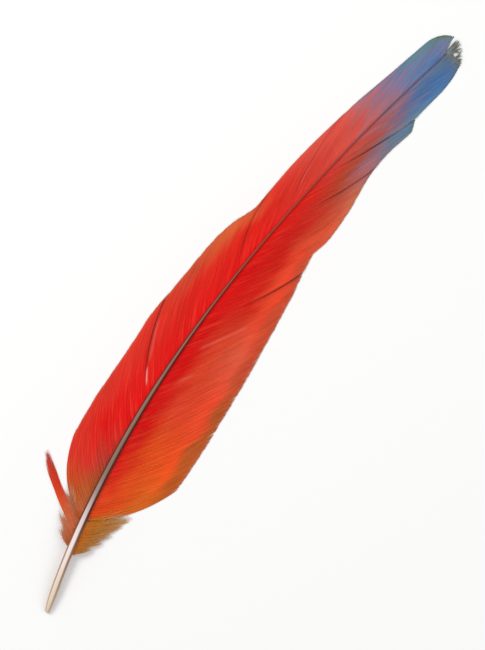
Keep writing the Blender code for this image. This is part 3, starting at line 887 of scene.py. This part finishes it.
def loose_paths(rng, lock):
    """The barbs of one loose lock, which draw together at its end."""
    _, station, length, width, root_angle, end_angle = lock
    shares = np.linspace(0.0, 1.0, LOOSE_RINGS)
    angles = np.radians(root_angle + (end_angle - root_angle) * shares)
    step = length / (LOOSE_RINGS - 1)
    along = station + np.concatenate(([0.0], np.cumsum(np.cos(angles[1:])) * step))
    across = LOOSE_ROOT + np.concatenate(([0.0], np.cumsum(np.sin(angles[1:])) * step))
    long = lock == LOOSE_LOCKS[0]
    half = LOOSE_SPREAD[long] * width / 2 * np.sqrt(1 - (LOOSE_POINT[long] * shares) ** 2)
    jitter = rng.uniform(-LOOSE_JITTER, LOOSE_JITTER, LOOSE_BARBS)
    offset = np.clip(np.linspace(-1.0, 1.0, LOOSE_BARBS) + jitter, -1, 1)
    wave = field(rng, LOOSE_BARBS, LOOSE_RINGS, LOOSE_BARBS // LOOSE_WAVES[0], LOOSE_WAVES[1])
    drift = offset[:, None] + LOOSE_WAVE * wave * smooth(shares, LOOSE_WAVE_FROM, 1.0)
    barb_along = along[None, :] + drift * half[None, :] * np.sin(angles)[None, :]
    barb_across = across[None, :] - drift * half[None, :] * np.cos(angles)[None, :]
    ends = 1 - LOOSE_SIDE_CUT * np.abs(offset) * rng.random(LOOSE_BARBS)
    ends -= LOOSE_CUT[long] * rng.random(LOOSE_BARBS)
    cut = [np.array([np.interp(shares * end, shares, path) for path, end in zip(paths, ends)])
           for paths in (barb_along, barb_across)]
    return cut[0], np.maximum(cut[1], 0.0)


def hair_mesh(name, starts, ends, tips, half, fields):
    """Short three-sided hairs in two straight steps, each ending in a point."""
    middle = (starts + ends) / 2
    sideways = np.stack([-(ends - starts)[:, 1], (ends - starts)[:, 0], 0 * starts[:, 0]], axis=-1)
    sideways /= np.maximum(np.linalg.norm(sideways, axis=1, keepdims=True), SMALLEST)
    up = np.array([0.0, 0.0, 1.0])
    rings = []
    for place, width in ((starts, half), (middle, half * HAIR_TAPER)):
        rings += [place - sideways * width, place + sideways * width, place + up * width]
    verts = np.stack([*rings, tips], axis=1)
    base = (np.arange(len(starts)) * HAIR_SIZE)[:, None]
    faces = sum(((base + np.array(face)).tolist() for face in HAIR_QUADS + HAIR_TRIANGLES), [])
    return mesh_piece(name, verts, faces, fields)


def make_barbules(rng, x, y, z, fields):
    """Fine hairs on both sides of the downy barbs."""
    starts, ends, tips, picked = [], [], [], []
    dx, dy, _ = headings(x, y)
    angle = np.arctan2(dy, dx)
    for sign in (-1, 1):
        for share in np.linspace(BARBULE_FROM, BARBULE_TO, BARBULES):
            at = share * (x.shape[1] - 1)
            low = int(at)
            part = at - low
            spot = [values[:, low] * (1 - part) + values[:, low + 1] * part for values in (x, y, z)]
            turn = angle[:, low] + sign * np.radians(rng.uniform(*BARBULE_TURN, len(x)))
            reach = BARBULE_LENGTH * rng.uniform(*BARBULE_SIZE, len(x))
            reach = reach * (BARBULE_ROOT_SIZE + (1 - BARBULE_ROOT_SIZE) * share)
            start = np.stack(spot, axis=-1)
            end = start + np.stack([reach * np.cos(turn), reach * np.sin(turn), 0 * reach], axis=-1)
            curl = turn - sign * BARBULE_CURL
            drop = rng.uniform(-BARBULE_DROP, BARBULE_DROP, len(x)) * reach
            further = np.stack([reach * np.cos(curl), reach * np.sin(curl), drop], axis=-1)
            tip = end + further * HAIR_TAPER
            tip[:, 2] = np.maximum(tip[:, 2], BARBULE_HALF)
            starts.append(start)
            ends.append(end)
            tips.append(tip)
            picked.append(low)
    spread = {label: np.concatenate([values[:, low] for low in picked])
              for label, values in fields.items()}
    starts, ends, tips = np.concatenate(starts), np.concatenate(ends), np.concatenate(tips)
    return hair_mesh("down", starts, ends, tips, BARBULE_HALF, spread)


def filler_paths(rng, count, low, high, shortest, longest, root_angle, end_angle):
    """Single downy barbs between the loose locks, the lowest ones the shortest."""
    roots = np.sort(rng.uniform(low, high, count))
    share = ((roots - low) / (high - low))[:, None]
    size = (shortest + (longest - shortest) * share) * rng.uniform(*FILLER_SIZE, (count, 1))
    steps = np.linspace(0.0, 1.0, LOOSE_RINGS)[None, :]
    start = root_angle + rng.uniform(-FILLER_TURN[0], FILLER_TURN[0], (count, 1))
    end = end_angle + rng.uniform(-FILLER_TURN[1], FILLER_TURN[1], (count, 1))
    wave = field(rng, count, LOOSE_RINGS, count // FILLER_WAVES[0], FILLER_WAVES[1])
    angles = np.radians(start + (end - start) * steps) + FILLER_WAVE * wave
    step = size / (LOOSE_RINGS - 1)
    along = roots[:, None] + np.cumsum(np.cos(angles) * step, axis=1)
    across = LOOSE_ROOT + np.cumsum(np.sin(angles) * step, axis=1)
    return along, across


def make_loose(rng):
    """The loose locks below the vanes, each a bundle of separate barbs."""
    bundles = [(lock[0], number, *loose_paths(rng, lock)) for number, lock in enumerate(LOOSE_LOCKS)]
    locked = len(LOOSE_LOCKS) * LOOSE_BARBS
    bundles += [(side, len(LOOSE_LOCKS), *filler_paths(rng, *form)) for side, *form in FILLERS]
    along, across = (np.concatenate([bundle[k] for bundle in bundles]) for k in (2, 3))
    side, lock = (np.concatenate([np.full(len(bundle[2]), bundle[k]) for bundle in bundles])
                  for k in (0, 1))
    lift = LOOSE_LIFT[0] + LOOSE_LIFT[1] * rng.random(len(along))[:, None]
    z = np.where(side[:, None] < 0, vane_height(-1, along, across), vane_height(1, along, across))
    z = z + lift
    x, y = on_plan(along, side[:, None] * across)
    shares = np.linspace(0.0, 1.0, LOOSE_RINGS)[None, :]
    taper = np.sqrt(np.clip((1 - shares) / LOOSE_TAPER, LOOSE_BLUNT, 1.0))
    half = LOOSE_HALF * taper * np.ones_like(along)
    rings = strip_rings(side, x, y, z, half, FINE_RELIEF, FINE_RELIEF, 0.0)
    fields = {
        "share": shares,
        "tone": rng.uniform(-1, 1, (len(along), 1)),
        "lock": (lock == 0)[:, None],
        "left": (side < 0)[:, None],
    }
    fields = {label: values * np.ones_like(along) for label, values in fields.items()}
    pieces = []
    for name, chosen in (("loose_lock", lock == 0), ("downy_locks_left", (side < 0) & (lock > 0)),
                         ("downy_locks_right", side > 0)):
        picked = {label: values[chosen] for label, values in fields.items()}
        which = -1 if side[chosen][0] < 0 else 1
        pieces.append(strip_mesh(name, rings[chosen], which, picked))
    number = np.arange(len(lock))
    downy = (lock > 0) & (number % DOWNY_EVERY == 0) | (number >= locked)
    picked = {label: values[downy] for label, values in fields.items()}
    pieces.append(make_barbules(rng, x[downy], y[downy], z[downy], picked))
    return pieces


def loose_material():
    """Red-brown on the long lock, tan and gold-brown on the downy ones."""
    p = Painter("loose_barbs")
    share, tone, lock, left = (p.attribute(name) for name in ("share", "tone", "lock", "left"))
    long_lock = p.ramp(share, [(0.0, TAN), (0.25, linear(220, 98, 50)),
                               (0.6, linear(224, 62, 30)), (1.0, linear(198, 60, 38))])
    downy_left = p.ramp(share, [(0.0, AMBER), (0.5, TAN), (1.0, linear(212, 142, 102))])
    downy_right = p.ramp(share, [(0.0, linear(206, 110, 40)), (0.4, GOLD_BROWN),
                                 (1.0, linear(204, 152, 92))])
    color = p.mix(lock, p.mix(left, downy_right, downy_left), long_lock)
    color = p.shade(color, p.math("ADD", 1.0, p.math("MULTIPLY", tone, 0.18)))
    return p.finish(color, 0.6, 0.2)


# The room

FLOOR_SIZE = 6.0
FLOOR_COLOR = (0.93, 0.93, 0.93, 1.0)
WORLD_STRENGTH = 0.62
CAMERA_TURN = 35.88  # the feather's direction in the picture is this far clockwise from upright
METRES_PER_PIXEL = 0.0005616
IMAGE_HEIGHT = 650
CAMERA_HEIGHT = 1.30
SENSOR_HEIGHT = 24.0  # in millimetres
VIEW_CENTRE = (0.0121, -0.0028)
VIEW_DISTANCE = 50.0
WHITE = (1.0, 1.0, 1.0, 1.0)
LIGHTS = [  # name, place by the picture's directions (right, up, height), size, power, colour
    ("key", (-1.1, 1.0, 1.5), 0.9, 22.0, (1.0, 0.99, 0.97)),
    ("fill", (1.3, -0.6, 1.4), 1.4, 7.0, (0.98, 0.99, 1.0)),
]


def add_light(name, place, size, power, color):
    """A round studio light that points at the feather's middle."""
    light = bpy.data.lights.new(name, "AREA")
    light.shape = "DISK"
    light.size = size
    light.energy = power
    light.color = color
    obj = bpy.data.objects.new(name, light)
    obj.location = place
    x, y, z = place
    obj.rotation_euler = (math.atan2(math.hypot(x, y), z), 0.0, math.atan2(-y, -x) - math.pi / 2)
    bpy.context.scene.collection.objects.link(obj)


def make_room():
    """A pale floor, soft light from two sides and all around, and the camera."""
    scene = bpy.context.scene
    corners = FLOOR_SIZE / 2 * np.array([(-1, -1, 0), (1, -1, 0), (1, 1, 0), (-1, 1, 0)])
    floor = mesh_piece("floor", corners, [(0, 1, 2, 3)], {})
    scene.collection.objects.link(floor)
    floor.data.materials.append(Painter("paper").finish(FLOOR_COLOR, 0.9, 0.1))

    world = bpy.data.worlds.new("studio")
    world.use_nodes = True
    background = world.node_tree.nodes["Background"].inputs
    background["Color"].default_value = WHITE
    background["Strength"].default_value = WORLD_STRENGTH
    scene.world = world
    turn = math.radians(CAMERA_TURN)
    cos, sin = math.cos(turn), math.sin(turn)
    for name, (right, up, height), *form in LIGHTS:
        add_light(name, (right * cos - up * sin, right * sin + up * cos, height), *form)

    camera_data = bpy.data.cameras.new("camera")
    camera_data.sensor_fit = "VERTICAL"
    camera_data.sensor_height = SENSOR_HEIGHT
    camera_data.lens = SENSOR_HEIGHT * CAMERA_HEIGHT / (METRES_PER_PIXEL * IMAGE_HEIGHT)
    camera_data.clip_end = VIEW_DISTANCE
    camera = bpy.data.objects.new("camera", camera_data)
    camera.location = (*VIEW_CENTRE, CAMERA_HEIGHT)
    camera.rotation_euler = (0.0, 0.0, turn)
    scene.collection.objects.link(camera)
    scene.camera = camera
    scene.view_settings.view_transform = "Standard"


def place(piece, material, slot):
    """Puts a piece in the scene, on the body that it rides and in place of the solid."""
    bpy.context.scene.collection.objects.link(piece)
    piece.data.materials.append(material)
    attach(piece, "root")
    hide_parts("feather")


rng = np.random.default_rng(SEED)
make_room()
place(make_vane(-1, rng), left_material(), "vane")
place(make_vane(1, rng), right_material(), "vane")
place(make_shaft(), shaft_material(), "shaft")
place(make_fringe(rng), fringe_material(), "vane")
down = loose_material()
for piece in make_loose(rng):
    place(piece, down, "down")
